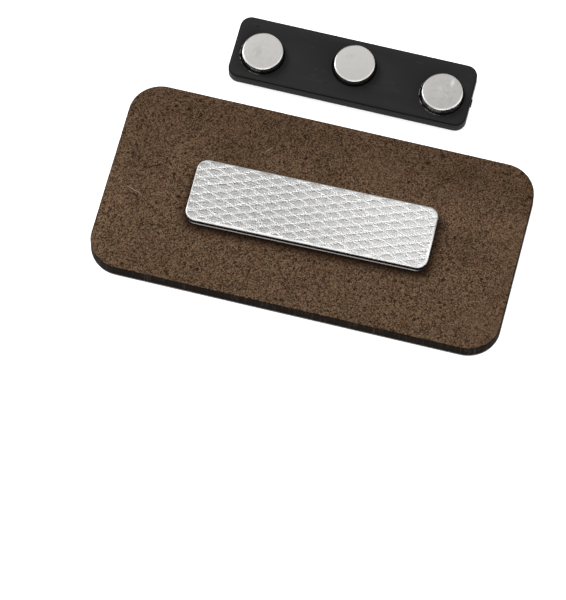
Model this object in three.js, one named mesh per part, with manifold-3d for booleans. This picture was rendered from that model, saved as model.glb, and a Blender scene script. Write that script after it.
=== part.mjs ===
// A name badge with a magnetic fastening, stored face down. A steel plate is taped to the back of the board, and
// the magnet bar that grips it through the cloth is taken off and lies beside the badge, magnets up.
// Millimetres, +Z up. The origin is the centre of the printed face, which lies on z = 0.
// +X runs along the badge, and +Y towards its coloured header.
import * as THREE from 'three';
import { mergeGeometries, mergeVertices } from 'three/addons/utils/BufferGeometryUtils.js';
import Module from 'manifold-3d';

const wasm = await Module();
wasm.setup();

// Badge board: hardboard with a thin gloss coat on the face, in a red header and a white name field
const BADGE_LENGTH = 76.2;
const BADGE_WIDTH = 38.1;
const BADGE_CORNER = 6;
const BOARD_THICKNESS = 2.78;
const COAT_THICKNESS = 0.2;
const HEADER_DEPTH = 18.85;
const COLOUR_SEAM = 0.02;

// Steel plate and the tape that holds it, set about a degree askew on the board
const PLATE_LENGTH = 45;
const PLATE_WIDTH = 12.5;
const PLATE_CORNER = 2;
const PLATE_THICKNESS = 1.15;
const PLATE_EDGE = 0.2;
const PLATE_CENTRE = [-0.07, -0.37];
const PLATE_TURN = 1;
const TAPE_THICKNESS = 0.48;
const TAPE_INSET = 0.04;

// Net pressed into the plate: sunk lozenges between raised ridges
const LOZENGE_LENGTH = 4.58;
const LOZENGE_WIDTH = 1.685;
const RIDGE_WIDTH = 0.3;
const NET_DEPTH = 0.1;
const NET_SLOPE = 0.12;
const NET_MARGIN = 0.32;
const NET_TURN = -0.55;
const NET_OFFSET = [-0.6, -0.3];

// Magnet bar: a moulded strip with three round pockets, lying beyond the header side of the badge
const BAR_LENGTH = 45.1;
const BAR_WIDTH = 12.85;
const BAR_THICKNESS = 2.3;
const BAR_CORNER = 2.1;
const BAR_EDGE = 0.2;
const BAR_GAP = 5.58;
const BAR_SHIFT = -0.19;
const POCKET_DEPTH = 1.2;
const POCKET_CLEARANCE = 0.32;
const POCKET_LIP = 0.12;

// Gate stub left by the moulding on the bar's right-hand end
const GATE_WIDTH = 1.3;
const GATE_REACH = 0.22;
const GATE_HEIGHT = 0.9;
const GATE_OFFSET = -0.6;

// Disc magnets: two near the bar's ends and its near side, and one in the middle near its far side. All three
// sit a little to the right on the bar.
const MAGNET_DIAMETER = 7.66;
const MAGNET_PROUD = 1.5;
const MAGNET_EDGE = 0.3;
const MAGNET_FROM_END = 5.5;
const MAGNET_FROM_SIDE = 5.56;
const MAGNET_SHIFT = 0.08;

// Film of glue between faces that are stuck together
const GLUE_LINE = 0.02;

const CORNER_STEPS = 7;
const EDGE_STEPS = 2;
const ROUND_STEPS = 40;

// Heights of the stack on the back of the badge
const boardTop = COAT_THICKNESS + GLUE_LINE + BOARD_THICKNESS;
const tapeBottom = boardTop + GLUE_LINE;
const plateBottom = tapeBottom + TAPE_THICKNESS + GLUE_LINE;

// An outline from one Y to another, centred on X, with its own corner radius at each side
function outline(length, yLow, yHigh, lowRadius, highRadius) {
  const half = length / 2;
  const shape = new THREE.Shape();
  shape.moveTo(-half + lowRadius, yLow);
  shape.lineTo(half - lowRadius, yLow);
  if (lowRadius > 0) {
    shape.absarc(half - lowRadius, yLow + lowRadius, lowRadius, -Math.PI / 2, 0, false);
  }
  shape.lineTo(half, yHigh - highRadius);
  if (highRadius > 0) {
    shape.absarc(half - highRadius, yHigh - highRadius, highRadius, 0, Math.PI / 2, false);
  }
  shape.lineTo(-half + highRadius, yHigh);
  if (highRadius > 0) {
    shape.absarc(-half + highRadius, yHigh - highRadius, highRadius, Math.PI / 2, Math.PI, false);
  }
  shape.lineTo(-half, yLow + lowRadius);
  if (lowRadius > 0) {
    shape.absarc(-half + lowRadius, yLow + lowRadius, lowRadius, Math.PI, Math.PI * 1.5, false);
  }
  return shape;
}

function roundedRectangle(length, width, radius) {
  return outline(length, -width / 2, width / 2, radius, radius);
}

// A sheet of even thickness, standing on z = 0
function sheet(shape, thickness) {
  return new THREE.ExtrudeGeometry(shape, {
    depth: thickness,
    bevelEnabled: false,
    curveSegments: CORNER_STEPS,
  });
}

// A sheet whose upper and lower edges are rounded inside its outline
function easedSheet(shape, thickness, edge) {
  const geometry = new THREE.ExtrudeGeometry(shape, {
    depth: thickness - 2 * edge,
    bevelThickness: edge,
    bevelSize: edge,
    bevelOffset: -edge,
    bevelSegments: EDGE_STEPS,
    curveSegments: CORNER_STEPS,
  });
  return geometry.translate(0, 0, edge);
}

// Turns a closed geometry into a solid that can be cut or joined
function toSolid(geometry) {
  const bare = geometry.index ? geometry.toNonIndexed() : geometry.clone();
  bare.deleteAttribute('normal');
  bare.deleteAttribute('uv');
  const merged = mergeVertices(bare, 1e-5);
  return new wasm.Manifold(
    new wasm.Mesh({
      numProp: 3,
      vertProperties: new Float32Array(merged.attributes.position.array),
      triVerts: new Uint32Array(merged.index.array),
    })
  );
}

function toGeometry(solid) {
  const mesh = solid.getMesh();
  const geometry = new THREE.BufferGeometry();
  geometry.setAttribute('position', new THREE.BufferAttribute(mesh.vertProperties, 3));
  geometry.setIndex(new THREE.BufferAttribute(mesh.triVerts, 1));
  geometry.computeVertexNormals();
  return geometry;
}

function finish(color, roughness, metalness) {
  return new THREE.MeshStandardMaterial({ color, roughness, metalness });
}

function piece(name, geometry, material) {
  const mesh = new THREE.Mesh(geometry, material);
  mesh.name = name;
  return mesh;
}

// One sunk lozenge: a four-sided block, wider at its mouth than at its floor, with its mouth level with z = 0
function lozengeCutter() {
  const overcut = NET_DEPTH;
  const narrow = RIDGE_WIDTH / 2 / Math.cos(Math.atan(LOZENGE_WIDTH / LOZENGE_LENGTH));
  const mouth = 1 - (2 * narrow) / LOZENGE_WIDTH;
  const slope = (2 * NET_SLOPE) / LOZENGE_WIDTH;
  const top = mouth + (slope * overcut) / NET_DEPTH;
  const cutter = new THREE.CylinderGeometry(top, mouth - slope, NET_DEPTH + overcut, 4);
  cutter.rotateX(Math.PI / 2);
  cutter.scale(LOZENGE_LENGTH / 2, LOZENGE_WIDTH / 2, 1);
  return cutter.translate(0, 0, (overcut - NET_DEPTH) / 2);
}

// Every lozenge whose centre lies near the plate, each row set half a lozenge along from the last.
// A ridge crossing lies on the net's origin.
function netCutters() {
  const cutters = [];
  const cutter = lozengeCutter();
  const columns = Math.ceil(PLATE_LENGTH / LOZENGE_LENGTH) + 2;
  const rows = Math.ceil(PLATE_WIDTH / LOZENGE_WIDTH) + 2;
  for (let column = -columns; column <= columns; column++) {
    for (let row = -rows; row <= rows; row++) {
      if ((column + row) % 2 === 0) {
        continue;
      }
      const x = (column * LOZENGE_LENGTH) / 2;
      const y = (row * LOZENGE_WIDTH) / 2;
      cutters.push(cutter.clone().translate(x, y, 0));
    }
  }
  const net = mergeGeometries(cutters);
  net.rotateZ(THREE.MathUtils.degToRad(NET_TURN));
  return net.translate(NET_OFFSET[0], NET_OFFSET[1], PLATE_THICKNESS);
}

function steelPlate() {
  const blank = toSolid(
    easedSheet(roundedRectangle(PLATE_LENGTH, PLATE_WIDTH, PLATE_CORNER), PLATE_THICKNESS, PLATE_EDGE)
  );
  const field = roundedRectangle(
    PLATE_LENGTH - 2 * NET_MARGIN,
    PLATE_WIDTH - 2 * NET_MARGIN,
    PLATE_CORNER - NET_MARGIN
  );
  const fieldBlock = toSolid(sheet(field, 2 * PLATE_THICKNESS));
  const net = toSolid(netCutters()).intersect(fieldBlock);
  return toGeometry(blank.subtract(net));
}

// A disc magnet standing on z = 0, with eased edges
function discMagnet(height) {
  const radius = MAGNET_DIAMETER / 2;
  const soft = MAGNET_EDGE * (1 - Math.SQRT1_2);
  const profile = [
    [0, 0],
    [radius - MAGNET_EDGE, 0],
    [radius - soft, soft],
    [radius, MAGNET_EDGE],
    [radius, height - MAGNET_EDGE],
    [radius - soft, height - soft],
    [radius - MAGNET_EDGE, height],
    [0, height],
  ];
  const points = profile.map(([x, y]) => new THREE.Vector2(x, y));
  return new THREE.LatheGeometry(points, ROUND_STEPS).rotateX(Math.PI / 2);
}

// The hollow that a magnet sits in: a blind round pocket whose mouth is eased, cut from above
function pocketCutter() {
  const radius = MAGNET_DIAMETER / 2 + POCKET_CLEARANCE;
  const floor = BAR_THICKNESS - POCKET_DEPTH;
  const profile = [
    [0, floor],
    [radius, floor],
    [radius, BAR_THICKNESS - POCKET_LIP],
    [radius + 2 * POCKET_LIP, BAR_THICKNESS + POCKET_LIP],
    [0, BAR_THICKNESS + POCKET_LIP],
  ];
  const points = profile.map(([x, y]) => new THREE.Vector2(x, y));
  return new THREE.LatheGeometry(points, ROUND_STEPS).rotateX(Math.PI / 2);
}

// Places of the magnets on the bar, from the bar's centre
function magnetPlaces() {
  const x = BAR_LENGTH / 2 - MAGNET_FROM_END;
  const y = BAR_WIDTH / 2 - MAGNET_FROM_SIDE;
  return [
    [MAGNET_SHIFT - x, -y],
    [MAGNET_SHIFT, y],
    [MAGNET_SHIFT + x, -y],
  ];
}

function barBody() {
  let solid = toSolid(
    easedSheet(roundedRectangle(BAR_LENGTH, BAR_WIDTH, BAR_CORNER), BAR_THICKNESS, BAR_EDGE)
  );
  for (const [x, y] of magnetPlaces()) {
    solid = solid.subtract(toSolid(pocketCutter().translate(x, y, 0)));
  }
  const stub = new THREE.BoxGeometry(2 * GATE_REACH, GATE_WIDTH, GATE_HEIGHT);
  stub.translate(BAR_LENGTH / 2, GATE_OFFSET, BAR_THICKNESS / 2);
  return toGeometry(solid.add(toSolid(stub)));
}

// Finishes
const hardboard = finish(0x5a4838, 0.85, 0);
const redCoat = finish(0xbb0520, 0.18, 0);
const whiteCoat = finish(0xf6f6f6, 0.18, 0);
const tapeFoam = finish(0xd8d8d4, 0.7, 0);
const steel = finish(0xcfcecb, 0.28, 1);
const blackPlastic = finish(0x2c2c2c, 0.45, 0);
const nickel = finish(0xc8c8c5, 0.2, 1);

// The badge
const badge = new THREE.Group();
const edgeY = BADGE_WIDTH / 2;
const seamY = edgeY - HEADER_DEPTH;

const nameField = piece(
  'white_name_field',
  sheet(outline(BADGE_LENGTH, -edgeY, seamY - COLOUR_SEAM / 2, BADGE_CORNER, 0), COAT_THICKNESS),
  whiteCoat
);
badge.add(nameField);

const header = piece(
  'red_header',
  sheet(outline(BADGE_LENGTH, seamY + COLOUR_SEAM / 2, edgeY, 0, BADGE_CORNER), COAT_THICKNESS),
  redCoat
);
badge.add(header);

const board = piece(
  'board',
  sheet(roundedRectangle(BADGE_LENGTH, BADGE_WIDTH, BADGE_CORNER), BOARD_THICKNESS),
  hardboard
);
board.position.z = COAT_THICKNESS + GLUE_LINE;
badge.add(board);

// The plate and its tape share one place on the back of the board
const plateMount = new THREE.Group();
plateMount.position.set(PLATE_CENTRE[0], PLATE_CENTRE[1], 0);
plateMount.rotation.z = THREE.MathUtils.degToRad(PLATE_TURN);
badge.add(plateMount);

const tape = piece(
  'plate_tape',
  sheet(
    roundedRectangle(
      PLATE_LENGTH - 2 * TAPE_INSET,
      PLATE_WIDTH - 2 * TAPE_INSET,
      PLATE_CORNER - TAPE_INSET
    ),
    TAPE_THICKNESS
  ),
  tapeFoam
);
tape.position.z = tapeBottom;
plateMount.add(tape);

const plate = piece('steel_plate', steelPlate(), steel);
plate.position.z = plateBottom;
plateMount.add(plate);

// The magnet bar, lying on the same surface as the badge
const magnetBar = new THREE.Group();
magnetBar.position.set(BAR_SHIFT, BADGE_WIDTH / 2 + BAR_GAP + BAR_WIDTH / 2, 0);
magnetBar.add(piece('bar_body', barBody(), blackPlastic));

const pocketFloor = BAR_THICKNESS - POCKET_DEPTH;
const magnetHeight = POCKET_DEPTH + MAGNET_PROUD - GLUE_LINE;
magnetPlaces().forEach(([x, y], index) => {
  const magnet = piece(`magnet_${index + 1}`, discMagnet(magnetHeight), nickel);
  magnet.position.set(x, y, pocketFloor + GLUE_LINE);
  magnetBar.add(magnet);
});

const nameBadge = new THREE.Group();
nameBadge.add(badge);
nameBadge.add(magnetBar);

export default nameBadge;
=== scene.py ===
import math

import bmesh
import bpy
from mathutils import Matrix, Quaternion, Vector, noise


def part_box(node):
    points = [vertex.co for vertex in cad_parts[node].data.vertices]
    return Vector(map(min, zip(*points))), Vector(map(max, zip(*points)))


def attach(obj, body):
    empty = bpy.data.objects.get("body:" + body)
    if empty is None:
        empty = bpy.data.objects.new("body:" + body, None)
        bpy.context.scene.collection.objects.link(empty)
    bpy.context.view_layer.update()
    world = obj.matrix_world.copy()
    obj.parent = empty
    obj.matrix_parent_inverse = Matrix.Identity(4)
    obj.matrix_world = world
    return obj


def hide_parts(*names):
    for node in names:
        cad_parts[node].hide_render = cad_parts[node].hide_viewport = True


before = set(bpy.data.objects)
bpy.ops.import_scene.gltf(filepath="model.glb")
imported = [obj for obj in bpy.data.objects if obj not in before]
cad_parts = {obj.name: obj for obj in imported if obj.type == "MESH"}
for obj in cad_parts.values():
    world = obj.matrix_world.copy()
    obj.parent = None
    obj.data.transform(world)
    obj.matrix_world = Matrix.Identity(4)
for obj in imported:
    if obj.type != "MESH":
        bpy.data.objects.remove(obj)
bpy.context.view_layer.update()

# Camera: a long lens well above the badge and on its near side, a little to the right, and leaning slightly
# to one side
MM = 0.001
AIM = Vector((-1.048, -17.729, 3.0)) * MM
CAMERA_AZIMUTH = math.radians(14.133)
CAMERA_ELEVATION = math.radians(65.075)
CAMERA_DISTANCE = 760.6 * MM
CAMERA_ROLL = math.radians(0.208)
CAMERA_LENS = 253.66
CAMERA_SENSOR = 36.0
CAMERA_REACH = 10.0

camera_data = bpy.data.cameras.new("camera")
camera_data.lens = CAMERA_LENS
camera_data.sensor_width = CAMERA_SENSOR
camera_data.clip_end = CAMERA_REACH
camera = bpy.data.objects.new("camera", camera_data)
bpy.context.scene.collection.objects.link(camera)
towards_camera = Vector((
    math.sin(CAMERA_AZIMUTH) * math.cos(CAMERA_ELEVATION),
    -math.cos(CAMERA_AZIMUTH) * math.cos(CAMERA_ELEVATION),
    math.sin(CAMERA_ELEVATION),
))
camera.location = AIM + towards_camera * CAMERA_DISTANCE
camera.rotation_mode = "QUATERNION"
level = (-towards_camera).to_track_quat("-Z", "Y")
camera.rotation_quaternion = level @ Quaternion((0, 0, 1), CAMERA_ROLL)
bpy.context.scene.camera = camera

# Board: a rounded rectangle of brown hardboard, cut out by laser. Its bare back is a felt of short fibres,
# with dark specks, broad stains and a few scratches. It carries a painted shadow close round the steel plate
# and is darker towards the far side. The cut has left the edge black, with fine upright grooves.
BOARD_CORNER = 6.0 * MM
CORNER_CUTS = 28
EDGE_PITCH = 0.34 * MM
EDGE_LEVELS = 3
ARRIS = 0.1 * MM
WELD_REACH = 0.0005 * MM
SMOOTH_BELOW = 40
GROOVE_DEPTH = 0.035 * MM
GROOVE_PITCH = 0.45 * MM
GROOVE_RISE = 0.05
WANDER_DEPTH = 0.03 * MM
WANDER_PITCH = 6.0 * MM


def start_piece(name, low, high):
    """A block between two corners, with its place in its mesh, left in edit mode with nothing selected."""
    bpy.ops.object.select_all(action="DESELECT")
    bpy.ops.mesh.primitive_cube_add(size=1, location=(low + high) / 2, scale=high - low)
    piece = bpy.context.object
    piece.name = name
    bpy.ops.object.transform_apply(location=True, rotation=True, scale=True)
    bpy.ops.object.mode_set(mode="EDIT")
    bpy.ops.mesh.select_all(action="DESELECT")
    return piece


def select_edges(piece, wanted):
    """Selects the edges of the piece in edit mode whose two ends pass a test."""
    bpy.ops.mesh.select_mode(type="EDGE")
    bpy.ops.mesh.select_all(action="DESELECT")
    mesh = bmesh.from_edit_mesh(piece.data)
    for edge in mesh.edges:
        edge.select_set(wanted(edge.verts[0].co, edge.verts[1].co))
    bmesh.update_edit_mesh(piece.data)


def end_piece(smooth_angle):
    """Leaves edit mode with clean outward faces and smooth shading below an angle in degrees."""
    bpy.ops.mesh.select_all(action="SELECT")
    bpy.ops.mesh.remove_doubles(threshold=WELD_REACH)
    bpy.ops.mesh.normals_make_consistent(inside=False)
    bpy.ops.mesh.select_all(action="DESELECT")
    bpy.ops.object.mode_set(mode="OBJECT")
    bpy.ops.object.shade_smooth_by_angle(angle=math.radians(smooth_angle))


def is_upright(a, b):
    """Whether the line between two points runs mostly up and down."""
    return abs(a.z - b.z) > 0.5 * (a - b).length


def soften_rim(piece, height, width, segments, reach):
    """Bevels the edges of the piece in edit mode that lie within a reach of a height."""
    select_edges(piece, lambda a, b: abs(a.z - height) < reach and abs(b.z - height) < reach)
    bpy.ops.mesh.bevel(offset=width, segments=segments, affect="EDGES")


board_low, board_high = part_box("board")
badge_board = start_piece("badge_board", board_low, board_high)
select_edges(badge_board, is_upright)
bpy.ops.mesh.bevel(offset=BOARD_CORNER, segments=CORNER_CUTS, affect="EDGES")
for axis, across in ((0, 1), (1, 0)):
    run = board_high[axis] - board_low[axis] - 2 * BOARD_CORNER
    select_edges(
        badge_board,
        lambda a, b: abs(a[across] - b[across]) < ARRIS and abs(abs(a[axis] - b[axis]) - run) < ARRIS,
    )
    bpy.ops.mesh.subdivide(number_cuts=int(run / EDGE_PITCH / 2))
    select_edges(
        badge_board,
        lambda a, b: abs(a[across] - b[across]) < ARRIS
        and abs(abs(a[across]) - board_high[across]) < ARRIS
        and not is_upright(a, b)
        and abs(a[axis] - b[axis]) > EDGE_PITCH * 1.5,
    )
    bpy.ops.mesh.subdivide(number_cuts=1)
select_edges(badge_board, is_upright)
bpy.ops.mesh.subdivide(number_cuts=EDGE_LEVELS)
for height in (board_low.z, board_high.z):
    soften_rim(badge_board, height, ARRIS, 2, reach=ARRIS / 2)
end_piece(SMOOTH_BELOW)


def outward(point, half_length, half_width, corner):
    """The level direction out of a rounded rectangle at a point of its rim."""
    core = Vector((
        max(-half_length + corner, min(half_length - corner, point.x)),
        max(-half_width + corner, min(half_width - corner, point.y)),
        point.z,
    ))
    return (point - core).normalized()


for vertex in badge_board.data.vertices:
    if vertex.co.z > board_high.z - ARRIS / 4:
        continue
    groove = noise.noise(Vector((vertex.co.x, vertex.co.y, vertex.co.z * GROOVE_RISE)) / GROOVE_PITCH)
    wander = noise.noise(vertex.co / WANDER_PITCH)
    away = outward(vertex.co, board_high.x, board_high.y, BOARD_CORNER)
    vertex.co -= away * (GROOVE_DEPTH * (0.5 + 0.5 * groove) + WANDER_DEPTH * (0.5 + 0.5 * wander))


def place_node(tree, kind, sockets=None, **settings):
    """Adds one shader node. Settings go by name, and each socket takes a value or another node's output."""
    made = tree.nodes.new("ShaderNode" + kind)
    for name, value in settings.items():
        setattr(made, name, value)
    for name, value in (sockets or {}).items():
        if isinstance(value, bpy.types.NodeSocket):
            tree.links.new(value, made.inputs[name])
        else:
            made.inputs[name].default_value = value
    return made


def maths(tree, operation, a, b=0.0, c=0.0, clamp=False):
    """One step of arithmetic on numbers."""
    sockets = {0: a, 1: b, 2: c}
    return place_node(tree, "Math", sockets, operation=operation, use_clamp=clamp).outputs[0]


def vector_maths(tree, operation, a, b=(0, 0, 0), c=(0, 0, 0), output="Vector"):
    """One step of arithmetic on places."""
    return place_node(tree, "VectorMath", {0: a, 1: b, 2: c}, operation=operation).outputs[output]


def split(tree, place):
    """The x, y and z of a place, or the red, green and blue of a colour."""
    return place_node(tree, "SeparateXYZ", {0: place}).outputs


def turn_level(tree, place, angle):
    """Turns a place about the upright axis through the origin."""
    sockets = {"Vector": place, "Angle": angle}
    return place_node(tree, "VectorRotate", sockets, rotation_type="Z_AXIS").outputs[0]


def spread(tree, value, low, high, to_low=0.0, to_high=1.0, smooth=True):
    """Maps a range of a value onto another, clamped, with soft ends unless smooth is off."""
    kind = "SMOOTHSTEP" if smooth else "LINEAR"
    sockets = {"Value": value, "From Min": low, "From Max": high, "To Min": to_low, "To Max": to_high}
    return place_node(tree, "MapRange", sockets, interpolation_type=kind).outputs[0]


def blend_colours(tree, share, below, above):
    """Lays one colour over another, by a share from 0 to 1."""
    return place_node(tree, "Mix", {0: share, 6: below, 7: above}, data_type="RGBA").outputs[2]


def cloud(tree, place, scale, detail=3.0, roughness=0.6, offset=None, stretch=None):
    """Noise from 0 to 1. The scale is in lumps for each unit of the place."""
    if stretch is not None or offset is not None:
        shift = {"Vector": place, "Location": offset or (0, 0, 0), "Scale": stretch or (1, 1, 1)}
        place = place_node(tree, "Mapping", shift).outputs[0]
    sockets = {"Vector": place, "Scale": scale, "Detail": detail, "Roughness": roughness}
    return place_node(tree, "TexNoise", sockets).outputs["Fac"]


def flat_cells(tree, place, scale):
    """Small cells side by side, each with its own middle and its own random colour."""
    sockets = {"Vector": place, "Scale": scale}
    return place_node(tree, "TexVoronoi", sockets, voronoi_dimensions="2D").outputs


def spot(tree, place, middle, half_size, turn=0.0, softness=0.5):
    """One soft elliptical mark, 1 inside and 0 outside. The turn is in degrees."""
    shifted = vector_maths(tree, "SUBTRACT", place, middle)
    turned = turn_level(tree, shifted, math.radians(-turn))
    scaled = vector_maths(tree, "MULTIPLY", turned, (1 / half_size[0], 1 / half_size[1], 0))
    reach = vector_maths(tree, "LENGTH", scaled, output="Value")
    return spread(tree, reach, 1.0 - softness, 1.0, 1.0, 0.0)


def start_group(name, inputs, outputs):
    """An empty shader node group. Inputs are (name, socket type, value), outputs are (name, socket type)."""
    tree = bpy.data.node_groups.new(name, "ShaderNodeTree")
    for label, kind, value in inputs:
        socket = tree.interface.new_socket(label, in_out="INPUT", socket_type="NodeSocket" + kind)
        if value is not None:
            socket.default_value = value
    for label, kind in outputs:
        tree.interface.new_socket(label, in_out="OUTPUT", socket_type="NodeSocket" + kind)
    return tree, tree.nodes.new("NodeGroupInput").outputs, tree.nodes.new("NodeGroupOutput").inputs


def use_group(tree, group, sockets, output):
    """Places a node group with its own values, and gives one of its outputs."""
    return place_node(tree, "Group", sockets, node_tree=group).outputs[output]


# Distance in from the rim of a rounded rectangle, for what follows an outline: char, painted light and shade
# on rims and round the plate, printed bars
rim_group, rim_in, rim_out = start_group(
    "distance_from_rim",
    [("Place", "Vector", None), ("Half size", "Vector", (1, 1, 0)), ("Corner", "Float", 0.0)],
    [("Distance", "Float")],
)
folded = vector_maths(rim_group, "ABSOLUTE", rim_in["Place"])
past = split(rim_group, vector_maths(rim_group, "SUBTRACT", folded, rim_in["Half size"]))
past_x = maths(rim_group, "ADD", past[0], rim_in["Corner"])
past_y = maths(rim_group, "ADD", past[1], rim_in["Corner"])
outer_x = maths(rim_group, "MAXIMUM", past_x, 0.0)
outer_y = maths(rim_group, "MAXIMUM", past_y, 0.0)
squares = maths(rim_group, "MULTIPLY_ADD", outer_x, outer_x, maths(rim_group, "MULTIPLY", outer_y, outer_y))
inner = maths(rim_group, "MINIMUM", maths(rim_group, "MAXIMUM", past_x, past_y), 0.0)
outside = maths(rim_group, "ADD", maths(rim_group, "SQRT", squares), inner)
rim_group.links.new(maths(rim_group, "SUBTRACT", rim_in["Corner"], outside), rim_out["Distance"])

# Short fibres pressed flat: streaks that turn a new way in each small cell, and are cut from a new part of
# the noise there
CELL_STRIDE = (40, 40, 40)
fibre_group, fibre_in, fibre_out = start_group(
    "laid_fibres",
    [
        ("Place", "Vector", None),
        ("Cell", "Float", 1.5),
        ("Length", "Float", 1.2),
        ("Thickness", "Float", 0.15),
    ],
    [("Fibre", "Float")],
)
cells = flat_cells(fibre_group, fibre_in["Place"], maths(fibre_group, "DIVIDE", 1.0, fibre_in["Cell"]))
from_middle = vector_maths(fibre_group, "SUBTRACT", fibre_in["Place"], cells["Position"])
pick = split(fibre_group, cells["Color"])[0]
turned = turn_level(fibre_group, from_middle, maths(fibre_group, "MULTIPLY", pick, math.tau))
per_length = maths(fibre_group, "DIVIDE", 1.0, fibre_in["Length"])
per_thickness = maths(fibre_group, "DIVIDE", 0.4, fibre_in["Thickness"])
drawn_out = place_node(fibre_group, "CombineXYZ", {0: per_length, 1: per_thickness}).outputs[0]
drawn = vector_maths(fibre_group, "MULTIPLY", turned, drawn_out)
dealt = vector_maths(fibre_group, "MULTIPLY_ADD", cells["Color"], CELL_STRIDE, drawn)
streak = cloud(fibre_group, dealt, 1.0, detail=1.5, roughness=0.5)
line = maths(fibre_group, "ABSOLUTE", maths(fibre_group, "SUBTRACT", streak, 0.5))
fibre_group.links.new(spread(fibre_group, line, 0.0, 0.05, 1.0, 0.0), fibre_out["Fibre"])


def start_material(name):
    """A material with its principled shader, and its object coordinates in millimetres."""
    material = bpy.data.materials.new(name)
    material.use_nodes = True
    tree = material.node_tree
    shader = tree.nodes["Principled BSDF"]
    place = place_node(tree, "TexCoord").outputs["Object"]
    return material, tree, shader, vector_maths(tree, "MULTIPLY", place, (1 / MM,) * 3)


def rim_distance(tree, place, half_size, corner):
    """How far inside the rim of a rounded rectangle a place lies. The rectangle's middle is the origin."""
    sockets = {"Place": place, "Half size": half_size, "Corner": corner}
    return use_group(tree, rim_group, sockets, "Distance")


def add_bump(tree, shader, height, strength, distance):
    """Low relief that only the light shows. The distance is in metres."""
    bump = place_node(tree, "Bump", {"Height": height, "Strength": strength, "Distance": distance})
    tree.links.new(bump.outputs[0], shader.inputs["Normal"])


BOARD_DEEP = (0.0105, 0.0046, 0.0019, 1)
BOARD_BROWN = (0.0295, 0.0183, 0.0113, 1)
BOARD_PALE = (0.149, 0.0905, 0.05, 1)
BOARD_FELT = (0.1445, 0.098, 0.0695, 1)
BOARD_RED = (0.045, 0.02, 0.0118, 1)
BOARD_OLIVE = (0.03, 0.0208, 0.0108, 1)
SCRATCH_PALE = (0.215, 0.163, 0.12, 1)
CHAR = (0.0055, 0.0034, 0.002, 1)
CHAR_ASH = (0.036, 0.031, 0.028, 1)
BOARD_HALF = (board_high.x / MM, board_high.y / MM, 0)
MOTTLE_PER_MM = 0.26
LUMPS_PER_MM = 0.9
GRAINS_PER_MM = 5.8
FELT_PER_MM = 6.8
SPECKS_PER_MM = 0.45
FAR_DARKENING_REACH = (5.0, 15.0)
FAR_DARKENING_SHARE = 0.3
# Layers of fibres: cell, length, thickness, shift, tint and share
FIBRES = (
    (1.7, 1.6, 0.16, (0.0, 0.0, 0.0), BOARD_PALE, 0.55),
    (1.2, 1.2, 0.16, (11.3, 4.1, 0.0), BOARD_DEEP, 0.45),
    (2.5, 2.2, 0.22, (5.7, 19.2, 0.0), BOARD_PALE, 0.4),
)
# Stains: middle, half size and share
DARK_STAINS = (
    ((-33.5, 4.0, 0.0), (7.5, 10.0), 0.24),
    ((-16.0, 8.6, 0.0), (8.5, 5.0), 0.26),
    ((28.5, 0.4, 0.0), (7.0, 6.5), 0.24),
    ((24.0, 15.2, 0.0), (8.0, 4.5), 0.2),
    ((-8.8, 15.8, 0.0), (6.0, 5.0), 0.16),
    ((0.6, 8.0, 0.0), (5.0, 3.2), 0.22),
    ((3.5, -10.5, 0.0), (6.5, 3.6), 0.14),
)
PALE_STAINS = (
    ((8.5, 12.4, 0.0), (8.0, 5.0), 0.18),
    ((36.8, 4.0, 0.0), (4.0, 10.0), 0.2),
    ((35.5, -13.5, 0.0), (7.0, 7.0), 0.2),
)
# Scratches: middle, half size and turn in degrees
PALE_SCRATCHES = (
    ((-33.1, -2.9, 0.0), (2.6, 0.14), -18.0),
    ((-11.1, 10.9, 0.0), (1.2, 0.14), 44.0),
    ((37.4, -15.7, 0.0), (0.22, 0.2), 0.0),
)
DARK_SCRATCHES = (
    ((-30.1, 2.8, 0.0), (1.9, 0.2), 20.0),
    ((-31.4, 2.0, 0.0), (1.0, 0.16), 24.0),
    ((-30.6, 1.0, 0.0), (0.4, 0.3), 30.0),
)
# The steel plate's outline, which the painted shadow round it follows
PLATE_HALF_LENGTH = 22.5 * MM
PLATE_HALF_WIDTH = 6.25 * MM
PLATE_HALF = (PLATE_HALF_LENGTH / MM, PLATE_HALF_WIDTH / MM, 0)
PLATE_CORNER = 2.0 * MM
PLATE_TURN = math.radians(1.0)
PLATE_SHADE_SHIFT = (0.1, -0.8, 0.0)
PLATE_SHADE_REACH = (-1.5, 0.8)
plate_low, plate_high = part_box("steel_plate")
plate_middle = (plate_low + plate_high) / 2


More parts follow.
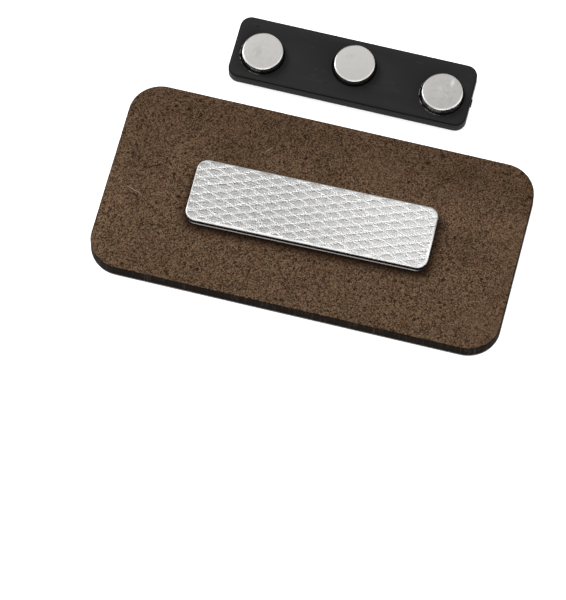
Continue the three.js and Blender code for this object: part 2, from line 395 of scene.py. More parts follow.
def hardboard():
    """Brown felted wood fibre, mottled brown and olive, with what use and the cut have left on it, a painted
    shadow round the plate, and darker towards the far side.
    """
    material, tree, shader, place = start_material("hardboard")
    tone = cloud(tree, place, MOTTLE_PER_MM)
    body = blend_colours(tree, spread(tree, tone, 0.36, 0.64), BOARD_OLIVE, BOARD_RED)
    body = blend_colours(tree, 0.3, body, BOARD_BROWN)
    felt = cloud(tree, place, FELT_PER_MM, detail=2.0, roughness=0.8, offset=(7, 3, 0))
    lumps = cloud(tree, place, LUMPS_PER_MM, offset=(31, 5, 0))
    picks = split(tree, flat_cells(tree, place, GRAINS_PER_MM)["Color"])
    lit = maths(tree, "MULTIPLY_ADD", felt, 0.55, maths(tree, "MULTIPLY", lumps, 0.08))
    lit = maths(tree, "MULTIPLY_ADD", picks[0], 0.4, lit)
    pale = blend_colours(tree, picks[1], BOARD_PALE, BOARD_FELT)
    colour = blend_colours(tree, spread(tree, lit, 0.48, 0.3), body, BOARD_DEEP)
    colour = blend_colours(tree, spread(tree, lit, 0.49, 0.67), colour, pale)
    height = lit
    for cell, length, thickness, shift, tint, share in FIBRES:
        shifted = vector_maths(tree, "ADD", place, shift)
        sockets = {"Place": shifted, "Cell": cell, "Length": length, "Thickness": thickness}
        fibre = use_group(tree, fibre_group, sockets, "Fibre")
        colour = blend_colours(tree, maths(tree, "MULTIPLY", fibre, share), colour, tint)
        rise = share if tint is BOARD_PALE else -share
        height = maths(tree, "MULTIPLY_ADD", fibre, rise * 0.5, height)
    specks = flat_cells(tree, place, SPECKS_PER_MM)
    chance = split(tree, specks["Color"])[1]
    reach = spread(tree, chance, 0.6, 1.0, 0.0, 0.16, smooth=False)
    ragged = maths(tree, "MULTIPLY_ADD", felt, 0.2, maths(tree, "SUBTRACT", specks["Distance"], reach))
    colour = blend_colours(tree, spread(tree, ragged, 0.06, 0.14, 0.8, 0.0), colour, BOARD_DEEP)
    for stains, tint in ((DARK_STAINS, BOARD_DEEP), (PALE_STAINS, BOARD_PALE)):
        for middle, half_size, share in stains:
            stain = spot(tree, place, middle, half_size, softness=1.0)
            colour = blend_colours(tree, maths(tree, "MULTIPLY", stain, share), colour, tint)
    broken = spread(tree, felt, 0.32, 0.48)
    for marks, tint, share in ((PALE_SCRATCHES, SCRATCH_PALE, 0.75), (DARK_SCRATCHES, BOARD_DEEP, 0.9)):
        for middle, half_size, turn in marks:
            mark = spot(tree, place, middle, half_size, turn)
            mark = maths(tree, "MULTIPLY", maths(tree, "MULTIPLY", mark, broken), share)
            colour = blend_colours(tree, mark, colour, tint)
    # Painted shadow of the steel plate on the board, shifted towards the near side
    shade_place = vector_maths(tree, "SUBTRACT", place, plate_middle / MM + Vector(PLATE_SHADE_SHIFT))
    shade_place = turn_level(tree, shade_place, -PLATE_TURN)
    from_plate = rim_distance(tree, shade_place, PLATE_HALF, PLATE_CORNER / MM)
    shade = spread(tree, from_plate, *PLATE_SHADE_REACH, smooth=False)
    colour = blend_colours(tree, shade, colour, BOARD_DEEP)
    # Darker towards the far side
    drifted = maths(tree, "MULTIPLY_ADD", lumps, 8.0, maths(tree, "ADD", split(tree, place)[1], -4.0))
    far_darkening = spread(tree, drifted, *FAR_DARKENING_REACH, 0.0, FAR_DARKENING_SHARE)
    colour = blend_colours(tree, far_darkening, colour, BOARD_DEEP)
    rim = rim_distance(tree, place, BOARD_HALF, BOARD_CORNER / MM)
    scorch = maths(tree, "MULTIPLY_ADD", maths(tree, "SUBTRACT", lumps, 0.5), -0.5, rim)
    colour = blend_colours(tree, spread(tree, scorch, 0.02, 0.25, 0.8, 0.0), colour, CHAR)
    tree.links.new(colour, shader.inputs["Base Color"])
    shader.inputs["Roughness"].default_value = 0.8
    shader.inputs["Specular IOR Level"].default_value = 0.02
    add_bump(tree, shader, height, 0.5, 0.0001)
    return material


def charred_edge():
    """Laser-cut edge: black char in fine upright grooves, greyed with ash here and there."""
    material, tree, shader, place = start_material("charred_edge")
    grooves = cloud(tree, place, 1.0, roughness=0.7, stretch=(3.0, 3.0, 0.1))
    patches = cloud(tree, place, 1.0, detail=2.0, offset=(3, 9, 1), stretch=(0.3, 0.3, 0.25))
    ash = spread(tree, patches, 0.42, 0.68, 0.15, 1.0)
    share = maths(tree, "MULTIPLY", spread(tree, grooves, 0.5, 0.7), ash)
    tree.links.new(blend_colours(tree, share, CHAR, CHAR_ASH), shader.inputs["Base Color"])
    shader.inputs["Roughness"].default_value = 0.7
    shader.inputs["Specular IOR Level"].default_value = 0.02
    add_bump(tree, shader, grooves, 0.7, 0.00015)
    return material


badge_board.data.materials.append(hardboard())
badge_board.data.materials.append(charred_edge())
for face in badge_board.data.polygons:
    face.material_index = 0 if face.normal.z > 0.9 else 1

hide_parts("board")
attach(badge_board, "root")

# Face coats: a thin gloss layer over the printed face, red above the seam and white below it, with plain
# printed bars. The cut has singed the layer's outer edge.
COAT_WHITE = (0.86, 0.86, 0.85, 1)
COAT_RED = (0.42, 0.0016, 0.012, 1)
PRINT_DARK = (0.012, 0.012, 0.013, 1)
PRINT_EDGE = 0.08
TITLE_BAR = ((0.0, 11.5, 0.0), (16.5, 3.7, 0.0), 0.8)
SUBTITLE_BAR = ((0.0, 4.3, 0.0), (14.0, 1.5, 0.0), 0.5)
NAME_BAR = ((0.0, -9.5, 0.0), (25.0, 3.15, 0.0), 0.8)


def gloss_coat(name, ground, printed):
    """Smooth gloss layer with plain printed bars, each given by its middle, its half size and its corner."""
    material, tree, shader, place = start_material(name)
    colour = ground
    for (middle, half_size, corner), ink in printed:
        inside = rim_distance(tree, vector_maths(tree, "SUBTRACT", place, middle), half_size, corner)
        colour = blend_colours(tree, spread(tree, inside, 0.0, PRINT_EDGE), colour, ink)
    rim = rim_distance(tree, place, BOARD_HALF, BOARD_CORNER / MM)
    colour = blend_colours(tree, spread(tree, rim, 0.02, 0.12, 0.9, 0.0), colour, CHAR)
    tree.links.new(colour, shader.inputs["Base Color"])
    dulled = cloud(tree, place, 1.4, detail=2.0)
    tree.links.new(spread(tree, dulled, 0.3, 0.8, 0.08, 0.2), shader.inputs["Roughness"])
    return material


for node, ground, printed in (
    ("white_name_field", COAT_WHITE, [(NAME_BAR, PRINT_DARK)]),
    ("red_header", COAT_RED, [(TITLE_BAR, COAT_WHITE), (SUBTITLE_BAR, COAT_WHITE)]),
):
    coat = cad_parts[node]
    coat.data.materials.clear()
    coat.data.materials.append(gloss_coat(node, ground, printed))

# Adhesive pad: a thin strip of white foam, sticky on both sides, that holds the steel plate on the board.
# Its two ends are painted dark as shade.
PAD_DULL = (0.34, 0.335, 0.325, 1)
PAD_PALE = (0.46, 0.455, 0.44, 1)
PAD_SHADE = (0.02, 0.018, 0.016, 1)
PAD_SHADED_ENDS = (20.3, 21.7)
pad_foam, pad_tree, pad_shader, pad_place = start_material("pad_foam")
pores = cloud(pad_tree, pad_place, 6.0, detail=2.0)
pad_colour = blend_colours(pad_tree, spread(pad_tree, pores, 0.3, 0.7), PAD_DULL, PAD_PALE)
# Painted shade at both ends of the pad, under the plate's ends
pad_along = maths(pad_tree, "SUBTRACT", split(pad_tree, pad_place)[0], plate_middle.x / MM)
pad_shaded_ends = spread(pad_tree, maths(pad_tree, "ABSOLUTE", pad_along), *PAD_SHADED_ENDS)
pad_colour = blend_colours(pad_tree, pad_shaded_ends, pad_colour, PAD_SHADE)
pad_tree.links.new(pad_colour, pad_shader.inputs["Base Color"])
pad_shader.inputs["Roughness"].default_value = 0.8
plate_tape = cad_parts["plate_tape"]
plate_tape.data.materials.clear()
plate_tape.data.materials.append(pad_foam)

# Steel plate: pressed sheet steel with a net of raised lozenges. The ridges carry a painted highlight and
# painted glints, and the hollows are dull and speckled, with painted shade along their far side. The plate is
# painted brighter towards the right. Its rim is rolled over, with a painted highlight on its near side and
# painted shade on its far side, and its side is painted dark as a reflection of the board.
PLATE_RIM = 0.26 * MM
PLATE_CLEAR = 0.012 * MM
PLATE_CORNER_CUTS = 10
METAL_SMOOTH_BELOW = 50
LOZENGE_LENGTH = 4.58 * MM
LOZENGE_WIDTH = 1.685 * MM
RIDGE_PITCH = LOZENGE_LENGTH * LOZENGE_WIDTH / math.hypot(LOZENGE_LENGTH, LOZENGE_WIDTH)
RIDGE_CREST = 0.03 * MM
RIDGE_SLOPE = 0.5 * MM
NET_TURN = math.radians(-0.55)
NET_OFFSET = Vector((-0.6, -0.3, 0.0)) * MM
NET_DEPTH = 0.1 * MM
NET_MARGIN = 0.3 * MM
NET_WANDER = 0.06 * MM
NET_WANDER_PITCH = 0.8 * MM
NET_WEAR = 0.16
NET_WEAR_PITCH = 0.9 * MM
NET_LEAN = 0.15
NET_LEAN_PITCH = 3.0 * MM
NET_WELD = 0.002 * MM
NET_SKIRT = 3 * MM
CELL_CUTS = 14
CELL_GATHER = 0.7
LOZENGES_LONG = 13
LOZENGES_WIDE = 10


def ease(share):
    """Runs from 0 to 1 with soft ends, and stays there beyond them."""
    share = max(0.0, min(1.0, share))
    return share * share * (3 - 2 * share)


def shape_with(piece, other, operation, solver="EXACT"):
    """Cuts, joins or intersects a piece with another object, which is then removed."""
    bpy.context.view_layer.objects.active = piece
    step = piece.modifiers.new("shape_with", "BOOLEAN")
    step.operation = operation
    step.solver = solver
    step.object = other
    bpy.ops.object.modifier_apply(modifier=step.name)
    bpy.data.objects.remove(other)


bpy.ops.object.select_all(action="DESELECT")
bpy.ops.mesh.primitive_grid_add(x_subdivisions=CELL_CUTS, y_subdivisions=CELL_CUTS, size=1)
net_sheet = bpy.context.object
net_sheet.name = "net_sheet"
for vertex in net_sheet.data.vertices:
    sunk_share = 1.0
    for axis in (0, 1):
        part = 2 * vertex.co[axis]
        part = math.copysign(abs(part) ** CELL_GATHER, part)
        vertex.co[axis] = part / 2
        from_ridge = (1 - abs(part)) / 2 * RIDGE_PITCH
        sunk_share *= ease((from_ridge - RIDGE_CREST) / RIDGE_SLOPE)
    vertex.co.z = -NET_DEPTH * sunk_share
net_sheet.rotation_euler = (0, 0, math.radians(45))
bpy.ops.object.transform_apply(rotation=True)
net_sheet.scale = (LOZENGE_LENGTH / math.sqrt(2), LOZENGE_WIDTH / math.sqrt(2), 1)
bpy.ops.object.transform_apply(scale=True)
bpy.ops.object.mode_set(mode="EDIT")
bpy.ops.mesh.select_all(action="SELECT")
bpy.ops.mesh.duplicate_move(TRANSFORM_OT_translate={"value": (LOZENGE_LENGTH / 2, LOZENGE_WIDTH / 2, 0)})
bpy.ops.object.mode_set(mode="OBJECT")
for count, step in ((LOZENGES_LONG, (LOZENGE_LENGTH, 0, 0)), (LOZENGES_WIDE, (0, LOZENGE_WIDTH, 0))):
    rows = net_sheet.modifiers.new("rows", "ARRAY")
    rows.count = count
    rows.use_relative_offset = False
    rows.use_constant_offset = True
    rows.constant_offset_displace = step
    bpy.ops.object.modifier_apply(modifier="rows")
bpy.ops.object.mode_set(mode="EDIT")
bpy.ops.mesh.select_all(action="SELECT")
bpy.ops.mesh.remove_doubles(threshold=NET_WELD)
bpy.ops.object.mode_set(mode="OBJECT")
net_sheet.location = (
    -LOZENGE_LENGTH * (LOZENGES_LONG // 2),
    -LOZENGE_WIDTH * (LOZENGES_WIDE // 2 - 0.5),
    0,
)
bpy.ops.object.transform_apply(location=True)
net_sheet.rotation_euler = (0, 0, NET_TURN)
net_sheet.location = NET_OFFSET
bpy.ops.object.transform_apply(location=True, rotation=True)

for vertex in net_sheet.data.vertices:
    place = vertex.co
    rim_x = abs(place.x) - (PLATE_HALF_LENGTH - PLATE_CORNER)
    rim_y = abs(place.y) - (PLATE_HALF_WIDTH - PLATE_CORNER)
    past_rim = math.hypot(max(rim_x, 0), max(rim_y, 0)) + min(max(rim_x, rim_y), 0)
    pressed = ease(((PLATE_CORNER - past_rim) / NET_MARGIN - 0.7) / 0.8)
    wear = noise.noise(place / NET_WEAR_PITCH)
    lean = noise.noise(place / NET_LEAN_PITCH + Vector((7, 3, 0)))
    place.z = pressed * (place.z * (1.0 + NET_LEAN * lean) - NET_DEPTH * NET_WEAR * max(0.0, wear))
    place.xy += noise.noise_vector(place.xy.to_3d() / NET_WANDER_PITCH).xy * NET_WANDER

bpy.ops.object.mode_set(mode="EDIT")
bpy.ops.mesh.select_mode(type="EDGE")
bpy.ops.mesh.select_all(action="SELECT")
bpy.ops.mesh.region_to_loop()
bpy.ops.mesh.extrude_edges_move(TRANSFORM_OT_translate={"value": (0, 0, -NET_SKIRT)})
bpy.ops.mesh.edge_face_add()
bpy.ops.mesh.select_all(action="SELECT")
bpy.ops.mesh.normals_make_consistent(inside=False)
bpy.ops.object.mode_set(mode="OBJECT")

half_plate = Vector((PLATE_HALF_LENGTH, PLATE_HALF_WIDTH, 0))
sunk = Vector((0, 0, plate_low.z - plate_high.z))
pressed_plate = start_piece("pressed_plate", sunk - half_plate, half_plate + Vector((0, 0, PLATE_CLEAR)))
select_edges(pressed_plate, is_upright)
bpy.ops.mesh.bevel(offset=PLATE_CORNER, segments=PLATE_CORNER_CUTS, affect="EDGES")
select_edges(pressed_plate, lambda a, b: a.z > 0 and b.z > 0)
bpy.ops.mesh.bevel(offset=PLATE_RIM, segments=4, affect="EDGES")
bpy.ops.object.mode_set(mode="OBJECT")
shape_with(pressed_plate, net_sheet, "INTERSECT", solver="MANIFOLD")
pressed_plate.rotation_euler = (0, 0, PLATE_TURN)
pressed_plate.location = (plate_middle.x, plate_middle.y, plate_high.z)
bpy.ops.object.transform_apply(location=True, rotation=True)
bpy.ops.object.shade_smooth_by_angle(angle=math.radians(METAL_SMOOTH_BELOW))

STEEL_TINT = (1.0, 0.995, 0.98, 1)
STEEL_BLACK = (0.0, 0.0, 0.0, 1)
HOLLOW_TONES = (0.357, 0.5)
RIDGE_HIGHLIGHT_RISES = (0.07, 0.03)
RIM_LIGHT_TONES = (0.3, 0.74)
SIDE_REFLECTION_TONE = 0.004
CREST_HIGHLIGHT_RISE = 0.19
SHADED_FALL = -0.17
GRAIN_RISE = 0.9
EMBOSS_SHADING_RISE = 0.95
GLINT_RISE = 0.3


def pressed_steel():
    """Sheet steel with painted highlights and glints on the ridges, grained hollows with painted shade along
    their far side, painted brighter towards the right, and a side painted dark as a reflection.
    """
    material, tree, shader, place = start_material("pressed_steel")
    from_left, _, above_floor = split(tree, place)
    top = plate_high.z / MM
    centred = vector_maths(tree, "SUBTRACT", place, plate_middle / MM)
    plate_place = turn_level(tree, centred, -PLATE_TURN)
    net_place = vector_maths(tree, "SUBTRACT", plate_place, NET_OFFSET / MM)
    net = split(tree, turn_level(tree, net_place, -NET_TURN))
    grain = cloud(tree, place, 6.0, roughness=0.75)
    lumps = cloud(tree, place, 4.5, detail=1.0, offset=(17.0, 3.0, 2.0))
    lumps_above = cloud(tree, place, 4.5, detail=1.0, offset=(17.05, 3.16, 2.0))
    stray = maths(tree, "MULTIPLY", maths(tree, "SUBTRACT", cloud(tree, place, 1.6, detail=2.0), 0.5), 0.18)
    # Painted light: the plate's tone brightens from left to right
    along = spread(tree, from_left, -9.0, 20.0)
    up = maths(tree, "DIVIDE", net[1], LOZENGE_WIDTH / MM)
    pitch = RIDGE_PITCH / MM
    hollow = 1.0
    crest = 0.0
    far_side = 0.0
    for lean in (1.0, -1.0):
        line = maths(tree, "MULTIPLY_ADD", net[0], lean / (LOZENGE_LENGTH / MM), up)
        line = maths(tree, "MULTIPLY_ADD", stray, 1 / pitch, line)
        below = maths(tree, "SUBTRACT", maths(tree, "CEIL", line), line)
        nearest = maths(tree, "MULTIPLY", maths(tree, "PINGPONG", line, 0.5), pitch)
        hollow = maths(tree, "MULTIPLY", spread(tree, nearest, 0.06, 0.5), hollow)
        crest = maths(tree, "MAXIMUM", spread(tree, nearest, 0.02, 0.1, 1.0, 0.0), crest)
        far_side = maths(tree, "ADD", maths(tree, "MULTIPLY", below, -0.5), far_side)
    # Painted shade: dark lines below one family of ridges, stronger to the right, and dark arcs along the far
    # side of each hollow
    line_below = maths(tree, "ABSOLUTE", maths(tree, "MULTIPLY_ADD", below, pitch, -0.2))
    line_below = maths(tree, "MULTIPLY", spread(tree, line_below, 0.02, 0.12, 1.0, 0.0), along)
    arc = spread(tree, maths(tree, "ABSOLUTE", maths(tree, "SUBTRACT", hollow, 0.45)), 0.0, 0.3, 1.0, 0.0)
    arc = maths(tree, "MULTIPLY", arc, spread(tree, far_side, -0.5, -0.25))
    dark = maths(tree, "MAXIMUM", arc, maths(tree, "MULTIPLY", line_below, 0.7))
    dark = maths(tree, "MULTIPLY", dark, spread(tree, cloud(tree, place, 2.1, offset=(9, 1, 4)), 0.3, 0.6))
    tone = spread(tree, along, 0.0, 1.0, *HOLLOW_TONES, smooth=False)
    # Painted highlight on the ridges and their crests
    rise = spread(tree, along, 0.0, 1.0, *RIDGE_HIGHLIGHT_RISES, smooth=False)
    tone = maths(tree, "MULTIPLY_ADD", maths(tree, "SUBTRACT", 1.0, hollow), rise, tone)
    broken = spread(tree, cloud(tree, place, 2.6, detail=1.0, offset=(2, 8, 5)), 0.25, 0.55)
    tone = maths(tree, "MULTIPLY_ADD", maths(tree, "MULTIPLY", crest, broken), CREST_HIGHLIGHT_RISE, tone)
    tone = maths(tree, "MULTIPLY_ADD", dark, SHADED_FALL, tone)
    tone = maths(tree, "MULTIPLY_ADD", maths(tree, "SUBTRACT", grain, 0.5), GRAIN_RISE, tone)
    # Painted light and shade on small lumps, as if lit from one side
    emboss_shading = maths(tree, "SUBTRACT", lumps, lumps_above)
    emboss_shading = maths(tree, "MULTIPLY", emboss_shading, maths(tree, "SUBTRACT", 1.4, hollow))
    tone = maths(tree, "MULTIPLY_ADD", emboss_shading, EMBOSS_SHADING_RISE, tone)
    # Painted glints near the ridges
    glint = maths(tree, "MULTIPLY", spread(tree, lumps, 0.62, 0.7), maths(tree, "SUBTRACT", 1.1, hollow))
    tone = maths(tree, "MULTIPLY_ADD", glint, GLINT_RISE, tone)
    # Painted highlight along the rolled rim's near side and painted shade along its far side
    rim = rim_distance(tree, plate_place, PLATE_HALF, PLATE_CORNER / MM)
    uneven = maths(tree, "MULTIPLY_ADD", cloud(tree, place, 0.6, detail=2.0, offset=(4, 4, 4)), 2.0, -1.1)
    rolled = split(tree, plate_place)
    lit_rim_side = maths(tree, "MULTIPLY_ADD", rolled[0], 0.12, maths(tree, "MULTIPLY", rolled[1], -1.0))
    lit_rim_side = spread(tree, lit_rim_side, -1.0, 4.0)
    rolled_over = maths(tree, "MULTIPLY_ADD", maths(tree, "MULTIPLY", lit_rim_side, uneven), 0.5, rim)
    rolled_over = spread(tree, rolled_over, 0.12, 0.4, 1.0, 0.0)
    rim_tone = spread(tree, lit_rim_side, 0.0, 1.0, *RIM_LIGHT_TONES)
    kept = maths(tree, "MULTIPLY", tone, maths(tree, "SUBTRACT", 1.0, rolled_over))
    tone = maths(tree, "MULTIPLY_ADD", rolled_over, rim_tone, kept)
    # The side is painted near black and not metal, as a painted dark reflection of the board
    side = spread(tree, above_floor, top - 0.4, top - 0.3, 1.0, 0.0)
    kept = maths(tree, "MULTIPLY", tone, maths(tree, "SUBTRACT", 1.0, side))
    tone = maths(tree, "MULTIPLY_ADD", side, SIDE_REFLECTION_TONE, kept)
    tree.links.new(blend_colours(tree, tone, STEEL_BLACK, STEEL_TINT), shader.inputs["Base Color"])
    tree.links.new(maths(tree, "SUBTRACT", 1.0, side), shader.inputs["Metallic"])
    tree.links.new(spread(tree, grain, 0.3, 0.7, 0.32, 0.5), shader.inputs["Roughness"])
    shader.inputs["Specular IOR Level"].default_value = 0.0
    add_bump(tree, shader, grain, 0.5, 0.00002)
    return material


pressed_plate.data.materials.clear()
pressed_plate.data.materials.append(pressed_steel())
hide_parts("steel_plate")
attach(pressed_plate, "root")

# Magnets: three thick sintered discs with rounded rims, glued into the bar's pockets. They are plated with
# nickel, which use has greyed and smudged.
MAGNET_SIDES = 96
MAGNET_EDGE = 0.3 * MM
MAGNET_NAMES = ("magnet_1", "magnet_2", "magnet_3")
magnet_boxes = [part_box(name) for name in MAGNET_NAMES]
magnet_low, magnet_high = magnet_boxes[0]
magnet_radius = (magnet_high.x - magnet_low.x) / 2
magnet_height = magnet_high.z - magnet_low.z
first_middle = (magnet_low + magnet_high) / 2

bpy.ops.object.select_all(action="DESELECT")
bpy.ops.mesh.primitive_cylinder_add(
    vertices=MAGNET_SIDES, radius=magnet_radius, depth=magnet_height, location=first_middle
)
nickel_disc = bpy.context.object
nickel_disc.name = "nickel_disc_1"
bpy.ops.object.transform_apply(location=True)
bpy.ops.object.mode_set(mode="EDIT")
select_edges(nickel_disc, lambda a, b: abs(a.z - b.z) < MAGNET_EDGE / 4)
bpy.ops.mesh.bevel(offset=MAGNET_EDGE, segments=4, affect="EDGES")
end_piece(METAL_SMOOTH_BELOW)
discs = [nickel_disc]
for number, (low, high) in enumerate(magnet_boxes[1:], start=2):
    bpy.ops.object.select_all(action="DESELECT")
    nickel_disc.select_set(True)
    bpy.context.view_layer.objects.active = nickel_disc
    bpy.ops.object.duplicate()
    disc = bpy.context.object
    disc.name = f"nickel_disc_{number}"
    disc.location = (low + high) / 2 - first_middle
    bpy.ops.object.transform_apply(location=True)
    discs.append(disc)

# Marks of use on smooth surfaces: soft smudges, and hairline scratches gathered in patches
marks_group, marks_in, marks_out = start_group(
    "handling_marks",
    [("Place", "Vector", None), ("Smudge size", "Float", 3.0), ("Scratch size", "Float", 2.0)],
    [("Smudge", "Float"), ("Scratch", "Float")],
)
per_smudge = maths(marks_group, "DIVIDE", 1.0, marks_in["Smudge size"])
per_scratch = maths(marks_group, "DIVIDE", 1.0, marks_in["Scratch size"])
smudge = cloud(marks_group, marks_in["Place"], per_smudge, roughness=0.55)
marks_group.links.new(spread(marks_group, smudge, 0.42, 0.68), marks_out["Smudge"])
drift = place_node(
    marks_group, "Mapping", {"Vector": marks_in["Place"], "Rotation": (0, 0, 0.7), "Scale": (0.35, 1.6, 1.0)}
).outputs[0]
threads = cloud(marks_group, drift, per_scratch, detail=1.0)
hairline = maths(marks_group, "ABSOLUTE", maths(marks_group, "SUBTRACT", threads, 0.5))
hairline = spread(marks_group, hairline, 0.0, 0.012, 1.0, 0.0)
patch = cloud(marks_group, marks_in["Place"], per_scratch, detail=1.0, offset=(13, 2, 5))
scratch = maths(marks_group, "MULTIPLY", hairline, spread(marks_group, patch, 0.5, 0.62))
marks_group.links.new(scratch, marks_out["Scratch"])

NICKEL = (0.478, 0.465, 0.447, 1)
NICKEL_DULL = (0.24, 0.24, 0.237, 1)
NICKEL_PALE = (0.70, 0.695, 0.68, 1)
NICKEL_RIM_HIGHLIGHT = (0.78, 0.77, 0.75, 1)
NICKEL_EDGE = (0.36, 0.35, 0.335, 1)
NICKEL_SHADED = (0.07, 0.069, 0.067, 1)
PALE_STREAK = ((1.45, 2.2, 0.0), (0.55, 1.2), -4.0)
# For each disc: how far it is greyed and dulled, its smudge, and the shares of smudge, rays and pale streak
DISC_MARKS = (
    (0.0, 0.1, ((-0.75, -0.35, 0.0), (1.3, 2.2), 8.0), 0.42, 0.0, 0.0),
    (0.0, 0.06, ((-1.2, 1.1, 0.0), (1.2, 1.0), 0.0), 0.2, 0.0, 0.0),
    (0.27, 0.22, ((0.9, -0.4, 0.0), (1.6, 1.8), 30.0), 0.15, 0.4, 0.55),
)


def nickel(name, middle, greyed, dulled, smudge, smudge_share, rays_share, streak_share):
    """Nickel plate with a painted highlight round its rim's near side and painted shade on its left. Each
    disc has its own smudge, streak and rays about its middle.
    """
    material, tree, shader, place = start_material(name)
    centred = vector_maths(tree, "SUBTRACT", place, middle)
    marks = {"Place": centred, "Smudge size": 1.1, "Scratch size": 3.0}
    blotches = use_group(tree, marks_group, marks, "Smudge")
    haze = cloud(tree, place, 2.4, detail=4.0, roughness=0.75)
    patch = spot(tree, centred, *smudge, softness=0.9)
    stroke = cloud(tree, centred, 1.0, detail=2.0, stretch=(3.2, 0.7, 1.0))
    patch = maths(tree, "MULTIPLY", patch, spread(tree, stroke, 0.32, 0.6))
    dull = maths(tree, "MULTIPLY_ADD", patch, smudge_share, maths(tree, "MULTIPLY", blotches, dulled))
    dull = maths(tree, "ADD", dull, greyed)
    dull = maths(tree, "MULTIPLY_ADD", maths(tree, "SUBTRACT", haze, 0.5), 0.2, dull, clamp=True)
    colour = blend_colours(tree, dull, NICKEL, NICKEL_DULL)
    across = split(tree, centred)
    around = maths(tree, "ARCTAN2", across[1], across[0])
    from_middle = vector_maths(tree, "LENGTH", centred, output="Value")
    fan = place_node(tree, "CombineXYZ", {0: maths(tree, "MULTIPLY", around, 4.0), 1: from_middle}).outputs[0]
    rays = spread(tree, cloud(tree, fan, 1.0, detail=2.0), 0.52, 0.7)
    rays = maths(tree, "MULTIPLY", rays, spread(tree, from_middle, 0.8, 2.8, rays_share, 0.0))
    colour = blend_colours(tree, rays, colour, NICKEL_PALE)
    streak = spot(tree, centred, *PALE_STREAK, softness=0.95)
    colour = blend_colours(tree, maths(tree, "MULTIPLY", streak, streak_share), colour, NICKEL_PALE)
    disc_radius = magnet_radius / MM
    rim = rim_distance(tree, centred, (disc_radius, disc_radius, 0), disc_radius)
    # Painted highlight round the rim's near side and painted shade on its left side
    near_rim_highlight = spread(tree, maths(tree, "MULTIPLY_ADD", across[0], -0.25, across[1]), -2.2, 0.6, 1.0, 0.0)
    left_rim_shade = maths(tree, "MULTIPLY_ADD", across[1], 0.6, maths(tree, "MULTIPLY", across[0], -1.0))
    rim_colour = blend_colours(tree, spread(tree, left_rim_shade, 2.0, 3.4), NICKEL_EDGE, NICKEL_SHADED)
    rim_colour = blend_colours(tree, near_rim_highlight, rim_colour, NICKEL_RIM_HIGHLIGHT)
    colour = blend_colours(tree, spread(tree, rim, 0.16, 0.32, 1.0, 0.0), colour, rim_colour)
    tree.links.new(colour, shader.inputs["Base Color"])
    shader.inputs["Metallic"].default_value = 1.0
    tree.links.new(spread(tree, dull, 0.0, 1.0, 0.2, 0.45), shader.inputs["Roughness"])
    return material


for disc, node, disc_marks in zip(discs, MAGNET_NAMES, DISC_MARKS):
    low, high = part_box(node)
    disc.data.materials.append(nickel(disc.name, (low + high) / 2 / MM, *disc_marks))
    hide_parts(node)
    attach(disc, "root")

# Bar strip: moulded black plastic with rounded corners, a round pocket for each magnet, and the broken-off
# stub of its moulding gate on one end
BAR_CORNER = 2.1 * MM
BAR_EDGE = 0.2 * MM
BAR_CORNER_CUTS = 12
BAR_SMOOTH_BELOW = 50
GATE_REACH = 0.22 * MM
GATE_WIDTH = 1.3 * MM
GATE_HEIGHT = 0.9 * MM
GATE_OFFSET = -0.6 * MM
POCKET_CLEARANCE = 0.32 * MM
POCKET_DEPTH = 1.2 * MM
POCKET_LIP = 0.1 * MM
bar_low, bar_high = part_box("bar_body")
bar_high.x -= GATE_REACH
bar_middle = (bar_low + bar_high) / 2
moulded_bar = start_piece("moulded_bar", bar_low, bar_high)
select_edges(moulded_bar, is_upright)
bpy.ops.mesh.bevel(offset=BAR_CORNER, segments=BAR_CORNER_CUTS, affect="EDGES")
for height in (bar_low.z, bar_high.z):
    soften_rim(moulded_bar, height, BAR_EDGE, 3, reach=BAR_EDGE / 4)
bpy.ops.object.mode_set(mode="OBJECT")

pocket_middles = [(low + high) / 2 for low, high in magnet_boxes]
pocket_radius = magnet_radius + POCKET_CLEARANCE
for pocket_middle in pocket_middles:
    bpy.ops.mesh.primitive_cylinder_add(
        vertices=MAGNET_SIDES,
        radius=pocket_radius,
        depth=2 * POCKET_DEPTH,
        location=(pocket_middle.x, pocket_middle.y, bar_high.z),
    )
    shape_with(moulded_bar, bpy.context.object, "DIFFERENCE")

gate_low = Vector((
    bar_high.x - GATE_REACH,
    bar_middle.y + GATE_OFFSET - GATE_WIDTH / 2,
    bar_middle.z - GATE_HEIGHT / 2,
))
gate_high = gate_low + Vector((2 * GATE_REACH, GATE_WIDTH, GATE_HEIGHT))
gate_stub = start_piece("gate_stub", gate_low, gate_high)
select_edges(gate_stub, lambda a, b: a.x > bar_high.x and b.x > bar_high.x)
bpy.ops.mesh.bevel(offset=GATE_REACH / 3, segments=2, affect="EDGES")
bpy.ops.object.mode_set(mode="OBJECT")
shape_with(moulded_bar, gate_stub, "UNION")

bpy.ops.object.select_all(action="DESELECT")
moulded_bar.select_set(True)
bpy.ops.object.mode_set(mode="EDIT")


def on_pocket_mouth(a, b):
    """Whether the line between two points is part of a pocket's rim, at the bar's face."""
    if min(a.z, b.z) < bar_high.z - BAR_EDGE / 4:
        return False
    return any(
        max(abs((end - middle).xy.length - pocket_radius) for end in (a, b)) < POCKET_LIP / 4
        for middle in pocket_middles
    )


select_edges(moulded_bar, on_pocket_mouth)
bpy.ops.mesh.bevel(offset=POCKET_LIP, segments=2, affect="EDGES")
end_piece(BAR_SMOOTH_BELOW)

PLASTIC_BLACK = (0.0118, 0.0118, 0.0119, 1)
PLASTIC_DEEP = (0.002, 0.002, 0.002, 1)
PLASTIC_DUST = (0.035, 0.035, 0.035, 1)
PLASTIC_GLINT = (0.42, 0.42, 0.41, 1)
BAR_HALF = ((bar_high.x - bar_low.x) / 2 / MM, (bar_high.y - bar_low.y) / 2 / MM, 0)
TOOL_MARKS = (((-19.5, 35.7, 0.0), (0.5, 0.17), 8.0), ((-4.4, 27.4, 0.0), (0.2, 0.2), 0.0))
GLINTING_POCKETS = (pocket_middles[0], pocket_middles[2])


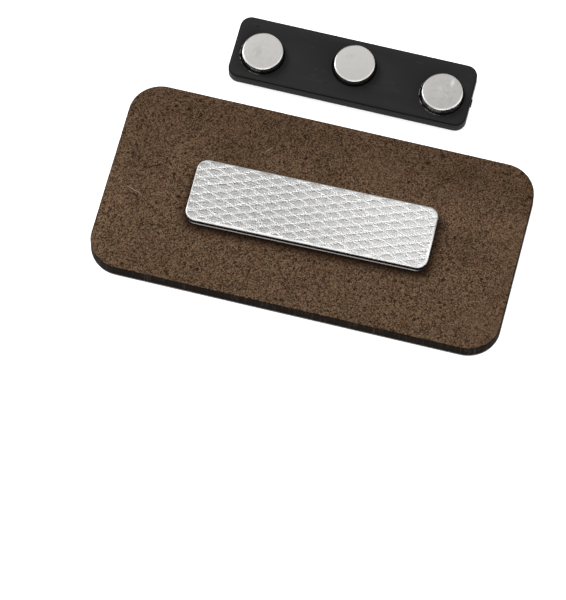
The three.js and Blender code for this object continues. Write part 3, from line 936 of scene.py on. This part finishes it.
def satin_plastic():
    """Black plastic with a satin face, painted shade along its top edges, painted highlights on two pocket
    mouths and faint dust.
    """
    material, tree, shader, place = start_material("satin_plastic")
    top = bar_high.z / MM
    centred = vector_maths(tree, "SUBTRACT", place, bar_middle / MM)
    rim = rim_distance(tree, centred, BAR_HALF, BAR_CORNER / MM)
    # Painted shade along the top edges
    near_top = spread(tree, split(tree, place)[2], top - 0.3, top - 0.15)
    edge = maths(tree, "MULTIPLY", spread(tree, rim, 0.15, 0.27, 1.0, 0.0), near_top)
    dust = spread(tree, cloud(tree, place, 3.5, detail=4.0, roughness=0.8), 0.64, 0.78)
    marks = {"Place": place, "Smudge size": 5.0, "Scratch size": 3.0}
    scratch = use_group(tree, marks_group, marks, "Scratch")
    dust = maths(tree, "MULTIPLY", dust, 0.35)
    share = maths(tree, "MAXIMUM", dust, maths(tree, "MULTIPLY", scratch, 0.25))
    colour = blend_colours(tree, share, PLASTIC_BLACK, PLASTIC_DUST)
    for middle, half_size, turn in TOOL_MARKS:
        colour = blend_colours(tree, spot(tree, place, middle, half_size, turn), colour, PLASTIC_DEEP)
    # Painted highlight on the lower left of two pocket mouths
    ragged = spread(tree, cloud(tree, place, 1.4, detail=2.0, offset=(3, 1, 0)), 0.42, 0.56)
    for pocket_middle in GLINTING_POCKETS:
        around = split(tree, vector_maths(tree, "SUBTRACT", place, pocket_middle / MM))
        flat = place_node(tree, "CombineXYZ", {0: around[0], 1: around[1]}).outputs[0]
        reach = vector_maths(tree, "LENGTH", flat, output="Value")
        ring = maths(tree, "SUBTRACT", reach, (pocket_radius + POCKET_LIP / 2) / MM)
        ring = spread(tree, maths(tree, "ABSOLUTE", ring), 0.02, 0.06, 1.0, 0.0)
        side = maths(tree, "MULTIPLY_ADD", around[0], -0.8, maths(tree, "MULTIPLY", around[1], -0.6))
        ring = maths(tree, "MULTIPLY", ring, spread(tree, side, 1.6, 3.0))
        colour = blend_colours(tree, maths(tree, "MULTIPLY", ring, ragged), colour, PLASTIC_GLINT)
    colour = blend_colours(tree, edge, colour, PLASTIC_DEEP)
    tree.links.new(colour, shader.inputs["Base Color"])
    shader.inputs["Roughness"].default_value = 0.55
    shader.inputs["Specular IOR Level"].default_value = 0.08
    return material


moulded_bar.data.materials.append(satin_plastic())
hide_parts("bar_body")
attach(moulded_bar, "root")

# Floor: a plain pale light table under the badge and its bar, glowing just enough to thin their shadows
FLOOR_SIZE = 3
FLOOR_WHITE = (0.95, 0.95, 0.95, 1)
FLOOR_GLOW = 0.5
bpy.ops.object.select_all(action="DESELECT")
bpy.ops.mesh.primitive_plane_add(size=FLOOR_SIZE)
floor = bpy.context.object
floor.name = "floor"
floor_paint, _, floor_shader, _ = start_material("floor_paint")
floor_shader.inputs["Base Color"].default_value = FLOOR_WHITE
floor_shader.inputs["Roughness"].default_value = 0.9
floor_shader.inputs["Emission Color"].default_value = (1, 1, 1, 1)
floor_shader.inputs["Emission Strength"].default_value = FLOOR_GLOW
floor.data.materials.append(floor_paint)

# Light: pale surroundings, brighter behind the badge than in front, a soft lamp at the far left, and a long
# low lamp in front that lights the near rims
SURROUNDINGS_FRONT = 0.75
SURROUNDINGS_BACK = 1.35
SOFT_BOX = (840 * MM, 840 * MM)
SOFT_BOX_POWER = 23.2
SOFT_BOX_PLACE = Vector((-1240, 660, 1040)) * MM
FRONT_STRIP = (900 * MM, 180 * MM)
FRONT_STRIP_POWER = 1.6
FRONT_STRIP_PLACE = Vector((180, -700, 130)) * MM

surroundings = bpy.data.worlds.new("surroundings")
surroundings.use_nodes = True
sky_tree = surroundings.node_tree
sky = sky_tree.nodes["Background"]
sky.inputs["Color"].default_value = (1, 1, 1, 1)
sky_place = split(sky_tree, place_node(sky_tree, "TexCoord").outputs["Generated"])
sky_strength = spread(sky_tree, sky_place[1], -1.0, 1.0, SURROUNDINGS_FRONT, SURROUNDINGS_BACK, smooth=False)
sky_tree.links.new(sky_strength, sky.inputs["Strength"])
bpy.context.scene.world = surroundings


def add_lamp(name, size, power, place):
    """A rectangular lamp that faces the middle of the badge."""
    lamp_data = bpy.data.lights.new(name, "AREA")
    lamp_data.shape = "RECTANGLE"
    lamp_data.size, lamp_data.size_y = size
    lamp_data.energy = power
    lamp = bpy.data.objects.new(name, lamp_data)
    bpy.context.scene.collection.objects.link(lamp)
    lamp.location = place
    lamp.rotation_mode = "QUATERNION"
    lamp.rotation_quaternion = (-place).to_track_quat("-Z", "Y")


add_lamp("soft_box", SOFT_BOX, SOFT_BOX_POWER, SOFT_BOX_PLACE)
add_lamp("front_strip", FRONT_STRIP, FRONT_STRIP_POWER, FRONT_STRIP_PLACE)
bpy.context.scene.view_settings.view_transform = "Standard"
